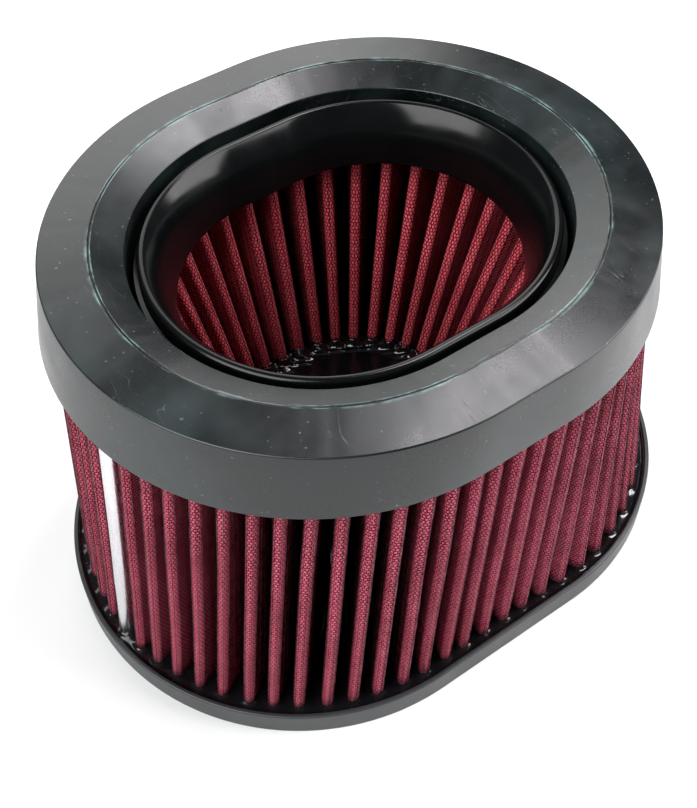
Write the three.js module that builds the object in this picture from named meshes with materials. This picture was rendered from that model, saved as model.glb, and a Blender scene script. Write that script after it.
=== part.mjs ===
// Oval pleated air filter: a soft sealing collar and a moulded throat on top, a pleated
// sandwich of wire screen and cotton gauze below them, and a shallow tray full of potting.
// Millimetres, +Z up. The origin is the middle of the tray's flat underside, X is the long axis.
import * as THREE from "three";

// ---- Driving dimensions -------------------------------------------------------------------

// Half-width of the collar's top edge. The whole filter is sized from it.
const COLLAR_RADIUS = 65;
// The collar's centre sits a little to -X of the tray's centre, so the filter leans that way.
const COLLAR_SHIFT = -4.5;
const COLLAR_HALF_STRAIGHT = 8.3;
const COLLAR_EDGE_Z = 111.2;
const SKIRT_BOTTOM_Z = 93.1;

const TRAY_RADIUS = 66.8;
const TRAY_HALF_STRAIGHT = 22.8;
const TRAY_HEIGHT = 8.3;
const TRAY_WALL = 1.3;
const TRAY_FLOOR = 1.6;
const POTTING_TOP_Z = 7.0;

const THROAT_RADIUS = 35.4;
const THROAT_BOTTOM_Z = 92.5;

const PLEAT_COUNT = 54;
const PLEAT_PHASE = 0.638;
// The folds stand closer together on the -Y side and wider apart on the +Y side. The spacing
// swings by these shares once and twice round the oval, and is widest at this fraction of it.
const SWING_ONCE = 0.354;
const SWING_TWICE = 0.131;
const WIDEST_AT = 0.128;

// Under the collar the pleats sit round from where they stand in the tray, by a small turn and
// a swing, both shares of the way round.
const TOP_TURN = 0.0028;
const TOP_SWING = 0.0119;
const TOP_SWING_AT = -0.053;
// Radius of the middle of the sandwich where it folds over at an outer pleat tip.
const OUTER_FOLD_RADIUS = 1.2;
const SEAM_PLEAT = 25;
// The pleats lean inwards down to a resin floor that stands above the tray.
const INNER_FLOOR_Z = 32.5;

// Space left between pieces that touch in the real filter.
const CLEARANCE = 0.3;

// ---- Ovals ----------------------------------------------------------------------------------

// An oval is two half circles of one radius joined by straights of twice halfStraight.
const oval = (radius, halfStraight, x = 0) => ({ radius, halfStraight, x });

const ARC_STEPS = 22;

// The points of an oval at height z, counter-clockwise seen from above.
function ovalLoop({ radius, halfStraight, x }, z) {
  const loop = [];
  for (const side of [1, -1]) {
    for (let step = 0; step <= ARC_STEPS; step += 1) {
      const angle = Math.PI * (step / ARC_STEPS - 0.5);
      const px = x + side * (halfStraight + radius * Math.cos(angle));
      loop.push(new THREE.Vector3(px, side * radius * Math.sin(angle), z));
    }
  }
  return loop;
}

// The point at a fraction of an oval's length, counter-clockwise from its +X end.
function ovalPoint({ radius, halfStraight, x }, fraction) {
  const quarterArc = (Math.PI * radius) / 2;
  const straight = 2 * halfStraight;
  const length = 4 * quarterArc + 2 * straight;
  const along = (((fraction % 1) + 1) % 1) * length;
  const onArc = (centre, angle) =>
    new THREE.Vector2(
      x + centre + radius * Math.cos(angle),
      radius * Math.sin(angle),
    );
  if (along < quarterArc) return onArc(halfStraight, along / radius);
  if (along < quarterArc + straight) {
    return new THREE.Vector2(x + halfStraight - (along - quarterArc), radius);
  }
  if (along < 3 * quarterArc + straight) {
    return onArc(-halfStraight, (along - straight) / radius);
  }
  if (along < 3 * quarterArc + 2 * straight) {
    const run = along - 3 * quarterArc - straight;
    return new THREE.Vector2(x - halfStraight + run, -radius);
  }
  return onArc(halfStraight, (along - 2 * straight) / radius);
}

// ---- Closed solids from loops ---------------------------------------------------------------

function indexedGeometry(loops, index) {
  const positions = loops.flat().flatMap((point) => point.toArray());
  const geometry = new THREE.BufferGeometry();
  geometry.setAttribute(
    "position",
    new THREE.Float32BufferAttribute(positions, 3),
  );
  geometry.setIndex(index);
  geometry.computeVertexNormals();
  return geometry;
}

// Joins each loop to the next. The last one is joined to the first when wrapped is true;
// otherwise the first and last are closed with flat faces, and must be convex. Each four-sided
// face is split the same way whether its band rises or falls, so that the two faces of a
// twisted sheet, and of the sheets beside it, stay parallel.
function solidFromLoops(loops, wrapped) {
  const count = loops[0].length;
  const index = [];
  const bands = wrapped ? loops.length : loops.length - 1;
  for (let band = 0; band < bands; band += 1) {
    const after = (band + 1) % loops.length;
    const falling = loops[after][0].z < loops[band][0].z;
    const low = band * count;
    const high = after * count;
    for (let step = 0; step < count; step += 1) {
      const next = (step + 1) % count;
      const split = falling ? high + step : high + next;
      const other = falling ? low + next : low + step;
      index.push(low + step, low + next, split);
      index.push(other, high + next, high + step);
    }
  }
  if (!wrapped) {
    const last = (loops.length - 1) * count;
    for (let step = 1; step < count - 1; step += 1) {
      index.push(0, step + 1, step);
      index.push(last, last + step, last + step + 1);
    }
  }
  return indexedGeometry(loops, index);
}

// A ring whose section is a closed outline of [oval, z] corners, counter-clockwise seen with
// the axis on the left.
const ringSolid = (section) =>
  solidFromLoops(section.map(([shape, z]) => ovalLoop(shape, z)), true);

// A plate or dish: the section starts at the edge of its underside and ends at the edge of
// its top or of its floor.
const plateSolid = (section) =>
  solidFromLoops(section.map(([shape, z]) => ovalLoop(shape, z)), false);

const collarOval = (radius, halfStraight = COLLAR_HALF_STRAIGHT) =>
  oval(radius, halfStraight, COLLAR_SHIFT);

const trayOval = (radius, halfStraight = TRAY_HALF_STRAIGHT) =>
  oval(radius, halfStraight);

// ---- Collar ---------------------------------------------------------------------------------

const RIDGE_RADIUS = COLLAR_RADIUS * 0.816;
const RIDGE_LAND = 0.8;
const RIDGE_Z = COLLAR_EDGE_Z + 1.3;
const COLLAR_INNER_RADIUS = COLLAR_RADIUS * 0.7;
const COLLAR_INNER_EDGE_Z = COLLAR_EDGE_Z - 2.1;
const RECESS_CEILING_Z = SKIRT_BOTTOM_Z + 6.3;
const SKIRT_RADIUS = COLLAR_RADIUS + 0.7;
const SKIRT_HALF_STRAIGHT = 11;
const SKIRT_WALL = 1.1;
const RECESS_HALF_STRAIGHT = 10.4;
const EDGE_ROUND = 0.5;

function collarGeometry() {
  const outerTop = COLLAR_RADIUS - EDGE_ROUND;
  const recess = collarOval(SKIRT_RADIUS - SKIRT_WALL, RECESS_HALF_STRAIGHT);
  return ringSolid([
    [collarOval(SKIRT_RADIUS, SKIRT_HALF_STRAIGHT), SKIRT_BOTTOM_Z],
    [collarOval(COLLAR_RADIUS), COLLAR_EDGE_Z - EDGE_ROUND],
    [collarOval(outerTop), COLLAR_EDGE_Z],
    [collarOval(RIDGE_RADIUS + RIDGE_LAND / 2), RIDGE_Z],
    [collarOval(RIDGE_RADIUS - RIDGE_LAND / 2), RIDGE_Z],
    [collarOval(COLLAR_INNER_RADIUS + EDGE_ROUND), COLLAR_INNER_EDGE_Z],
    [collarOval(COLLAR_INNER_RADIUS), COLLAR_INNER_EDGE_Z - EDGE_ROUND],
    [collarOval(COLLAR_INNER_RADIUS), RECESS_CEILING_Z],
    [recess, RECESS_CEILING_Z],
    [recess, SKIRT_BOTTOM_Z],
  ]);
}

// ---- Throat ring ----------------------------------------------------------------------------

const RIM_OUTER_RADIUS = COLLAR_RADIUS * 0.661;
const RIM_TOP_Z = COLLAR_EDGE_Z - 3.2;
const RIM_ROUND = 1.4;
const STEP_Z = RIM_TOP_Z - 4.4;
const STEP_WIDTH = 0.6;
const FLANGE_RADIUS = COLLAR_INNER_RADIUS + 0.9;
const FLANGE_TOP_Z = RECESS_CEILING_Z - CLEARANCE;
const FLANGE_BOTTOM_Z = FLANGE_TOP_Z - 3.1;
const THROAT_WALL = 1;
const FUNNEL_STEPS = 6;
const RIM_STEPS = 4;
const RIM_TURN = THREE.MathUtils.degToRad(120);

// The rim is a rounded bead, and the funnel below it is a quarter ellipse that ends upright.
function throatGeometry() {
  const section = [
    [collarOval(FLANGE_RADIUS), FLANGE_BOTTOM_Z],
    [collarOval(FLANGE_RADIUS), FLANGE_TOP_Z],
    [collarOval(RIM_OUTER_RADIUS + STEP_WIDTH), FLANGE_TOP_Z],
    [collarOval(RIM_OUTER_RADIUS + STEP_WIDTH), STEP_Z],
    [collarOval(RIM_OUTER_RADIUS), STEP_Z + STEP_WIDTH],
  ];
  const rimCentre = RIM_OUTER_RADIUS - RIM_ROUND;
  const rimCentreZ = RIM_TOP_Z - RIM_ROUND;
  for (let step = 0; step <= RIM_STEPS; step += 1) {
    const angle = (step / RIM_STEPS) * RIM_TURN;
    const radius = rimCentre + RIM_ROUND * Math.cos(angle);
    section.push([collarOval(radius), rimCentreZ + RIM_ROUND * Math.sin(angle)]);
  }
  const funnelTopRadius = rimCentre - RIM_ROUND;
  const funnelHeight = rimCentreZ + RIM_ROUND / 2 - THROAT_BOTTOM_Z;
  for (let step = 0; step <= FUNNEL_STEPS; step += 1) {
    const angle = (1 - step / FUNNEL_STEPS) * (Math.PI / 2);
    const reach = (funnelTopRadius - THROAT_RADIUS) * Math.cos(angle);
    const z = THROAT_BOTTOM_Z + funnelHeight * Math.sin(angle);
    section.push([collarOval(funnelTopRadius - reach), z]);
  }
  section.push([collarOval(THROAT_RADIUS + THROAT_WALL), THROAT_BOTTOM_Z]);
  section.push([collarOval(RIM_OUTER_RADIUS + STEP_WIDTH), FLANGE_BOTTOM_Z]);
  return ringSolid(section);
}

// ---- Top potting ----------------------------------------------------------------------------

const TOP_POTTING_RADIUS = SKIRT_RADIUS - SKIRT_WALL - CLEARANCE;
const TOP_POTTING_HALF_STRAIGHT = 9.5;

function topPottingGeometry() {
  const outer = collarOval(TOP_POTTING_RADIUS, TOP_POTTING_HALF_STRAIGHT);
  const inner = collarOval(FLANGE_RADIUS + CLEARANCE);
  return ringSolid([
    [outer, FLANGE_BOTTOM_Z],
    [outer, FLANGE_TOP_Z],
    [inner, FLANGE_TOP_Z],
    [inner, FLANGE_BOTTOM_Z],
  ]);
}

// ---- Pleats ---------------------------------------------------------------------------------

// Distances from the middle of the sandwich to the two faces of each layer, outside first.
const LAYERS = {
  outer_screen: [0.45, 0.33],
  outer_gauze: [0.25, 0.05],
  inner_gauze: [-0.05, -0.25],
  inner_screen: [-0.33, -0.45],
};
const HALF_THICKNESS = LAYERS.outer_screen[0];
const TIP_POINTS = 4;

// An inner tip is this share of the folds' spacing at the resin floor, up to a widest tip.
const INNER_TIP_SHARE = 0.42;
const WIDEST_INNER_TIP = 1.65;

const OUTER_TIPS_TOP_RADIUS = 64.1;
const OUTER_TIPS_BOTTOM_RADIUS = 63.6;
const INNER_TIPS_TOP_RADIUS = 46.4;
const INNER_TIPS_FLOOR_RADIUS = 29.4;
const INNER_TIPS_FLOOR_HALF_STRAIGHT = 4.3;
const INNER_TIPS_FLOOR_SHIFT = -7.9;

const PLEAT_TOP_Z = FLANGE_BOTTOM_Z - CLEARANCE;
const PLEAT_BOTTOM_Z = POTTING_TOP_Z + CLEARANCE;

// Outlines that the pleat tips touch. The outer ones run from the tray to the collar, and the
// inner ones from the resin floor to the collar.
const OUTER_TIPS_BOTTOM = trayOval(OUTER_TIPS_BOTTOM_RADIUS);
const OUTER_TIPS_TOP = collarOval(OUTER_TIPS_TOP_RADIUS, TOP_POTTING_HALF_STRAIGHT);
const INNER_TIPS_FLOOR = oval(
  INNER_TIPS_FLOOR_RADIUS,
  INNER_TIPS_FLOOR_HALF_STRAIGHT,
  INNER_TIPS_FLOOR_SHIFT,
);
const INNER_TIPS_TOP = collarOval(INNER_TIPS_TOP_RADIUS);

const resized = (shape, extra) => ({ ...shape, radius: shape.radius + extra });
const shareOf = (z, low, high) => THREE.MathUtils.clamp((z - low) / (high - low), 0, 1);

// Where a fold lies along the outer outlines: one whole pleat adds 1 to position.
function foldFraction(position) {
  const even = (position + PLEAT_PHASE) / PLEAT_COUNT;
  const angle = 2 * Math.PI * (even - WIDEST_AT);
  const swing = SWING_ONCE * Math.sin(angle) + (SWING_TWICE / 2) * Math.sin(2 * angle);
  return even + swing / (2 * Math.PI);
}

// A point of the outer side at a height, with its outlines resized by extra.
function outerPoint(position, z, extra) {
  const fraction = foldFraction(position);
  const topSwing = TOP_SWING * Math.sin(2 * Math.PI * (fraction - TOP_SWING_AT));
  const low = ovalPoint(resized(OUTER_TIPS_BOTTOM, extra), fraction);
  const high = ovalPoint(resized(OUTER_TIPS_TOP, extra), fraction + TOP_TURN - topSwing);
  return low.lerp(high, shareOf(z, PLEAT_BOTTOM_Z, PLEAT_TOP_Z));
}

// The point of an oval that lies in the direction of a target from the oval's middle.
function pointTowards({ radius, halfStraight, x }, target) {
  const direction = new THREE.Vector2(target.x - x, target.y).normalize();
  const along = Math.abs(direction.x);
  const across = Math.abs(direction.y);
  const onStraight = radius * along <= halfStraight * across;
  const reach = onStraight
    ? radius / across
    : halfStraight * along + Math.sqrt(radius ** 2 - (halfStraight * across) ** 2);
  return direction.multiplyScalar(reach).add(new THREE.Vector2(x, 0));
}

// An inner fold lies between the middle and the outer side, at half positions.
function innerPoint(position, z, extra) {
  const floorTarget = outerPoint(position, INNER_FLOOR_Z, 0);
  const topTarget = outerPoint(position, PLEAT_TOP_Z, 0);
  const low = pointTowards(resized(INNER_TIPS_FLOOR, extra), floorTarget);
  const high = pointTowards(resized(INNER_TIPS_TOP, extra), topTarget);
  return low.lerp(high, shareOf(z, INNER_FLOOR_Z, PLEAT_TOP_Z));
}

// Radius of the middle of the sandwich at an inner fold, smaller where the folds are close.
function innerFoldRadius(position) {
  const spacing = innerPoint(position - 0.5, INNER_FLOOR_Z, 0).distanceTo(
    innerPoint(position + 0.5, INNER_FLOOR_Z, 0),
  );
  return Math.min(INNER_TIP_SHARE * spacing, WIDEST_INNER_TIP) - HALF_THICKNESS;
}

const outerCentre = (pleat, z) =>
  outerPoint(pleat, z, -OUTER_FOLD_RADIUS - HALF_THICKNESS);

const innerCentre = (position, z) =>
  innerPoint(position, z, innerFoldRadius(position) + HALF_THICKNESS);

// Unit vector square to the flank that joins an outer fold to an inner fold. It points from
// the outer fold's centre to the flank; side is 1 for the flank that follows the tip.
function flankNormal(outer, inner, innerRadius, side) {
  const link = inner.clone().sub(outer);
  const reach = (OUTER_FOLD_RADIUS + innerRadius) / link.length();
  link.normalize();
  const across = new THREE.Vector2(link.y, -link.x).multiplyScalar(side);
  const rise = Math.sqrt(1 - reach * reach);
  return link.multiplyScalar(reach).addScaledVector(across, rise);
}

// Everything that places one pleat at one height.
function pleatFrame(pleat, z) {
  const outer = outerCentre(pleat, z);
  const before = innerCentre(pleat - 0.5, z);
  const after = innerCentre(pleat + 0.5, z);
  const radiusBefore = innerFoldRadius(pleat - 0.5);
  const radiusAfter = innerFoldRadius(pleat + 0.5);
  return {
    outer,
    after,
    radiusAfter,
    normalBefore: flankNormal(outer, before, radiusBefore, -1),
    normalAfter: flankNormal(outer, after, radiusAfter, 1),
  };
}

// Points of an arc about a centre, from one direction to another by a signed turn under 360.
function arcPoints(centre, radius, from, to, turn, count) {
  const start = Math.atan2(from.y, from.x);
  let sweep = Math.atan2(to.y, to.x) - start;
  while (sweep * turn < 0) sweep += turn * 2 * Math.PI;
  return Array.from({ length: count }, (_, step) => {
    const angle = start + (sweep * step) / (count - 1);
    return new THREE.Vector2(
      centre.x + radius * Math.cos(angle),
      centre.y + radius * Math.sin(angle),
    );
  });
}

const atHeight = (points, z) =>
  points.map((point) => new THREE.Vector3(point.x, point.y, z));

// One closed zigzag at a distance from the middle of the sandwich, positive outwards.
function pleatLoop(offset, z) {
  const loop = [];
  for (let pleat = 0; pleat < PLEAT_COUNT; pleat += 1) {
    const here = pleatFrame(pleat, z);
    const next = pleatFrame(pleat + 1, z);
    const outerTip = arcPoints(
      here.outer,
      OUTER_FOLD_RADIUS + offset,
      here.normalBefore,
      here.normalAfter,
      1,
      TIP_POINTS,
    );
    const innerTip = arcPoints(
      here.after,
      here.radiusAfter - offset,
      here.normalAfter.clone().negate(),
      next.normalBefore.clone().negate(),
      -1,
      TIP_POINTS,
    );
    loop.push(...atHeight([...outerTip, ...innerTip], z));
  }
  return loop;
}

const PLEAT_HEIGHTS = [PLEAT_BOTTOM_Z, INNER_FLOOR_Z, PLEAT_TOP_Z];

function pleatLayerGeometry([outside, inside]) {
  const up = PLEAT_HEIGHTS.map((z) => pleatLoop(outside, z));
  const down = PLEAT_HEIGHTS.map((z) => pleatLoop(inside, z)).reverse();
  return solidFromLoops([...up, ...down], true);
}

// ---- Seam clip ------------------------------------------------------------------------------

const CLIP_THICKNESS = 0.4;
const CLIP_LEG = 4.5;
const CLIP_TOP_Z = PLEAT_TOP_Z - 4;
const CLIP_GAP = 0.15;
const CLIP_TIP_POINTS = 5;

// A folded strip that straddles the outer tip where the two ends of the pleated band meet.
function clipFace(radius, z) {
  const { outer, normalBefore, normalAfter } = pleatFrame(SEAM_PLEAT, z);
  const tip = arcPoints(
    outer,
    radius,
    normalBefore,
    normalAfter,
    1,
    CLIP_TIP_POINTS,
  );
  const legBefore = new THREE.Vector2(-normalBefore.y, normalBefore.x);
  const legAfter = new THREE.Vector2(normalAfter.y, -normalAfter.x);
  const first = tip[0].clone().addScaledVector(legBefore, -CLIP_LEG);
  const last = tip.at(-1).clone().addScaledVector(legAfter, -CLIP_LEG);
  return atHeight([first, ...tip, last], z);
}

function clipLoop(z) {
  const near = OUTER_FOLD_RADIUS + HALF_THICKNESS + CLIP_GAP;
  const outside = clipFace(near + CLIP_THICKNESS, z);
  const inside = clipFace(near, z).reverse();
  return [...outside, ...inside];
}

// The strip's ends are not convex, so its caps are built from quads between its two faces.
function seamClipGeometry() {
  const loops = [PLEAT_BOTTOM_Z, INNER_FLOOR_Z, CLIP_TOP_Z].map(clipLoop);
  const count = loops[0].length;
  const last = (loops.length - 1) * count;
  const index = [];
  for (let low = 0; low < last; low += count) {
    for (let step = 0; step < count; step += 1) {
      const next = (step + 1) % count;
      index.push(low + step, low + next, low + count + next);
      index.push(low + step, low + count + next, low + count + step);
    }
  }
  for (let step = 0; step < count / 2 - 1; step += 1) {
    const across = count - 1 - step;
    index.push(step, across - 1, step + 1);
    index.push(step, across, across - 1);
    index.push(last + step, last + step + 1, last + across - 1);
    index.push(last + step, last + across - 1, last + across);
  }
  return indexedGeometry(loops, index);
}

// ---- Tray and bottom potting ----------------------------------------------------------------

const TRAY_CHAMFER = 0.6;
const TRAY_INNER_RADIUS = TRAY_RADIUS - TRAY_WALL;

function trayGeometry() {
  return plateSolid([
    [trayOval(TRAY_RADIUS - TRAY_CHAMFER), 0],
    [trayOval(TRAY_RADIUS), TRAY_CHAMFER],
    [trayOval(TRAY_RADIUS), TRAY_HEIGHT - TRAY_CHAMFER],
    [trayOval(TRAY_RADIUS - TRAY_CHAMFER), TRAY_HEIGHT],
    [trayOval(TRAY_INNER_RADIUS), TRAY_HEIGHT],
    [trayOval(TRAY_INNER_RADIUS), TRAY_FLOOR],
  ]);
}

// A thin pool across the tray, with a plug that fills the pleats up to the resin floor.
function bottomPottingGeometry() {
  const edge = trayOval(TRAY_INNER_RADIUS - CLEARANCE);
  const plug = resized(INNER_TIPS_FLOOR, -CLEARANCE);
  return plateSolid([
    [edge, TRAY_FLOOR + CLEARANCE],
    [edge, POTTING_TOP_Z],
    [plug, POTTING_TOP_Z],
    [plug, INNER_FLOOR_Z],
  ]);
}

// ---- Materials and assembly -----------------------------------------------------------------

function piece(name, geometry, color, roughness, metalness = 0) {
  const material = new THREE.MeshStandardMaterial({ color, roughness, metalness });
  const mesh = new THREE.Mesh(geometry, material);
  mesh.name = name;
  return mesh;
}

const filter = new THREE.Group();
filter.add(
  piece("collar", collarGeometry(), 0x1c2022, 0.42),
  piece("throat_ring", throatGeometry(), 0x0c0d0f, 0.25),
  piece("top_potting", topPottingGeometry(), 0x101012, 0.5),
  piece("outer_screen", pleatLayerGeometry(LAYERS.outer_screen), 0x8e8f94, 0.35, 0.9),
  piece("outer_gauze", pleatLayerGeometry(LAYERS.outer_gauze), 0xa01c34, 0.85),
  piece("inner_gauze", pleatLayerGeometry(LAYERS.inner_gauze), 0x9a1a30, 0.85),
  piece("inner_screen", pleatLayerGeometry(LAYERS.inner_screen), 0x8e8f94, 0.35, 0.9),
  piece("seam_clip", seamClipGeometry(), 0xc9cbd0, 0.25, 1),
  piece("bottom_potting", bottomPottingGeometry(), 0x08080a, 0.08),
  piece("base_tray", trayGeometry(), 0x2b2d30, 0.5),
);

export default filter;
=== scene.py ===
"""Looks for an oval pleated air filter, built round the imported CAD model.

Lengths in this file are millimetres unless a name says otherwise. MM turns them into metres.
"""

import math

import bpy
import numpy as np
from mathutils import Matrix, Vector


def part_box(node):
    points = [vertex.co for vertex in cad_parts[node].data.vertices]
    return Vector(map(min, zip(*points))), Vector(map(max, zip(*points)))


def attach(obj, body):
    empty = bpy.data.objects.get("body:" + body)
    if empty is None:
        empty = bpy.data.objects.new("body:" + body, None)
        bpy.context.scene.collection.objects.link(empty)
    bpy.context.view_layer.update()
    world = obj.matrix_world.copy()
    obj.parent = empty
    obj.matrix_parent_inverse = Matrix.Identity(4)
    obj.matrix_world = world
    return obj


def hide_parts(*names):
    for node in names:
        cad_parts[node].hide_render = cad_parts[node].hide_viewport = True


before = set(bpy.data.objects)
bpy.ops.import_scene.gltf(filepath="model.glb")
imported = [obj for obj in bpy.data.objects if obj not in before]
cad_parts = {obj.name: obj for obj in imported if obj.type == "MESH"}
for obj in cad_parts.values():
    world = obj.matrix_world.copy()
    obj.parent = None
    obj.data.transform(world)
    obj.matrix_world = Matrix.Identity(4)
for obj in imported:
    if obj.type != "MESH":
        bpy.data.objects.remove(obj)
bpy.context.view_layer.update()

MM = 0.001


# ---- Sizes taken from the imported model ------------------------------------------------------


def node_box(node):
    """Lowest and highest corner of a CAD node in millimetres."""
    low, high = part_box(node)
    return np.array(low) / MM, np.array(high) / MM


COLLAR_LOW, COLLAR_HIGH = node_box("collar")
RIM_LOW, RIM_HIGH = node_box("throat_ring")
SCREEN_LOW, SCREEN_HIGH = node_box("outer_screen")
TRAY_LOW, TRAY_HIGH = node_box("base_tray")
POTTING_LOW, POTTING_HIGH = node_box("bottom_potting")

SHIFT = (COLLAR_LOW[0] + COLLAR_HIGH[0]) / 2
SKIRT_RADIUS = COLLAR_HIGH[1]
SKIRT_HALF_STRAIGHT = (COLLAR_HIGH[0] - COLLAR_LOW[0]) / 2 - SKIRT_RADIUS
SKIRT_BOTTOM_Z = COLLAR_LOW[2]
RIDGE_Z = COLLAR_HIGH[2]
SKIRT_FLARE = 0.7
COLLAR_RADIUS = SKIRT_RADIUS - SKIRT_FLARE
COLLAR_HALF_STRAIGHT = 8.3
COLLAR_EDGE_Z = RIDGE_Z - 1.3
RIDGE_RADIUS = COLLAR_RADIUS * 0.816
COLLAR_INNER_RADIUS = COLLAR_RADIUS * 0.7
COLLAR_INNER_EDGE_Z = COLLAR_EDGE_Z - 2.1
RECESS_CEILING_Z = SKIRT_BOTTOM_Z + 6.3
SKIRT_WALL = 1.1

THROAT_BOTTOM_Z = RIM_LOW[2]
RIM_TOP_Z = RIM_HIGH[2]
RIM_OUTER_RADIUS = COLLAR_RADIUS * 0.661
FLANGE_RADIUS = RIM_HIGH[1]
THROAT_RADIUS = 35.4
RIM_ROUND = 1.2
FUNNEL_START_SLOPE = math.radians(48)
LEDGE_WIDTH = 1.5
LEDGE_ROUND = 0.4
LEDGE_DROP = 4.4
FLANGE_THICKNESS = 3.1

TRAY_RADIUS = TRAY_HIGH[1]
TRAY_HALF_STRAIGHT = TRAY_HIGH[0] - TRAY_RADIUS
TRAY_HEIGHT = TRAY_HIGH[2]
TRAY_INNER_RADIUS = POTTING_HIGH[1] + 0.3

PLEAT_COUNT = 54
PLEAT_PHASE = 0.638
SWING_ONCE = 0.354
SWING_TWICE = 0.131
WIDEST_AT = 0.128
TOP_TURN = 0.0028
TOP_SWING = 0.0119
TOP_SWING_AT = -0.053
OUTER_FOLD_RADIUS = 1.2
HALF_THICKNESS = 0.45
INNER_TIP_SHARE = 0.42
WIDEST_INNER_TIP = 1.65
SEAM_PLEAT = 25
INNER_FLOOR_Z = POTTING_HIGH[2]
TIPS_TOP_Z = SCREEN_HIGH[2]
TIPS_BOTTOM_Z = SCREEN_LOW[2]
POTTING_Z = TIPS_BOTTOM_Z - 0.3

# Radius, half-straight and x of the ovals that the pleat tips touch, as in the CAD model.
OUTER_TOP = (64.1, 9.5, SHIFT)
OUTER_BOTTOM = (63.6, 22.8, 0)
INNER_TOP = (46.4, 8.3, SHIFT)
INNER_FLOOR = (29.4, 4.3, -7.9)


# ---- Repeatable variation -------------------------------------------------------------------


def scatter(index, seed):
    """Numbers from -1 to 1 that look random and are always the same."""
    raw = np.sin(np.asarray(index, float) * 12.9898 + seed * 78.233) * 43758.5453
    return 2 * (raw - np.floor(raw)) - 1


def wander(position, period, seed):
    """A smooth curve from -1 to 1 through scattered values one period apart."""
    steps = np.asarray(position, float) / period
    before = np.floor(steps)
    blend = steps - before
    blend = blend * blend * (3 - 2 * blend)
    return scatter(before, seed) * (1 - blend) + scatter(before + 1, seed) * blend


# ---- Meshes ---------------------------------------------------------------------------------


def mesh_piece(name, points, faces, material, corner_uv=None):
    """A smooth-shaded mesh object from points in millimetres and four-sided faces."""
    mesh = bpy.data.meshes.new(name)
    mesh.vertices.add(len(points))
    mesh.vertices.foreach_set("co", (points * MM).astype(np.float32).ravel())
    mesh.loops.add(faces.size)
    mesh.loops.foreach_set("vertex_index", faces.astype(np.int32).ravel())
    mesh.polygons.add(len(faces))
    mesh.polygons.foreach_set("loop_start", np.arange(0, faces.size, 4, dtype=np.int32))
    mesh.polygons.foreach_set("use_smooth", np.ones(len(faces), bool))
    if corner_uv is not None:
        layer = mesh.uv_layers.new(name="weave")
        layer.data.foreach_set("uv", corner_uv.astype(np.float32).ravel())
    mesh.update(calc_edges=True)
    mesh.validate()
    mesh.materials.append(material)
    piece = bpy.data.objects.new(name, mesh)
    bpy.context.scene.collection.objects.link(piece)
    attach(piece, "root")
    return piece


def grid_faces(rows, columns, wrap_rows, wrap_columns):
    """Corner indices of the faces of a grid, and the row and column that each corner is at."""
    row = np.arange(rows if wrap_rows else rows - 1)
    column = np.arange(columns if wrap_columns else columns - 1)
    row, column = np.meshgrid(row, column, indexing="ij")
    corner_rows = np.stack([row, row, row + 1, row + 1], -1).reshape(-1, 4)
    corner_columns = np.stack([column, column + 1, column + 1, column], -1).reshape(-1, 4)
    faces = (corner_rows % rows) * columns + corner_columns % columns
    return faces, corner_rows, corner_columns


def keep_flats_flat(piece):
    """Shades large faces flat and leaves the small roundings between them smooth."""
    weighted = piece.modifiers.new("weighted normals", "WEIGHTED_NORMAL")
    weighted.weight = 100
    weighted.keep_sharp = True


# ---- Ovals and rings ------------------------------------------------------------------------

ARC_STEPS = 150
STRAIGHT_STEPS = 12


def oval_loop(radius, half_straight, x, z):
    """Points of an oval, counter-clockwise from its -Y side."""
    angle = np.linspace(-math.pi / 2, math.pi / 2, ARC_STEPS + 1)
    run = np.linspace(half_straight, -half_straight, STRAIGHT_STEPS + 1)[1:-1]
    right = np.stack([half_straight + radius * np.cos(angle), radius * np.sin(angle)], -1)
    back = np.stack([run, np.full(len(run), radius)], -1)
    flat = np.concatenate([right, back, -right, -back])
    loop = np.empty((len(flat), 3))
    loop[:, :2] = flat
    loop[:, 0] += x
    loop[:, 2] = z
    return loop


def ring_piece(name, section, x, material, shape=None):
    """A ring swept round ovals. The section is a closed outline of (radius, straight, z)."""
    rows = np.array([oval_loop(radius, straight, x, z) for radius, straight, z in section])
    if shape is not None:
        shape(rows)
    faces, _, _ = grid_faces(rows.shape[0], rows.shape[1], True, True)
    piece = mesh_piece(name, rows.reshape(-1, 3), faces, material)
    keep_flats_flat(piece)
    return piece


def rounded(section, corner, radius_of_round, start, end, straight, steps=5):
    """Adds a rounding about corner=(radius, z) from one angle to another, in degrees."""
    for angle in np.radians(np.linspace(start, end, steps)):
        reach = corner[0] + radius_of_round * math.cos(angle)
        section.append((reach, straight, corner[1] + radius_of_round * math.sin(angle)))


# ---- Node materials -------------------------------------------------------------------------


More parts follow.
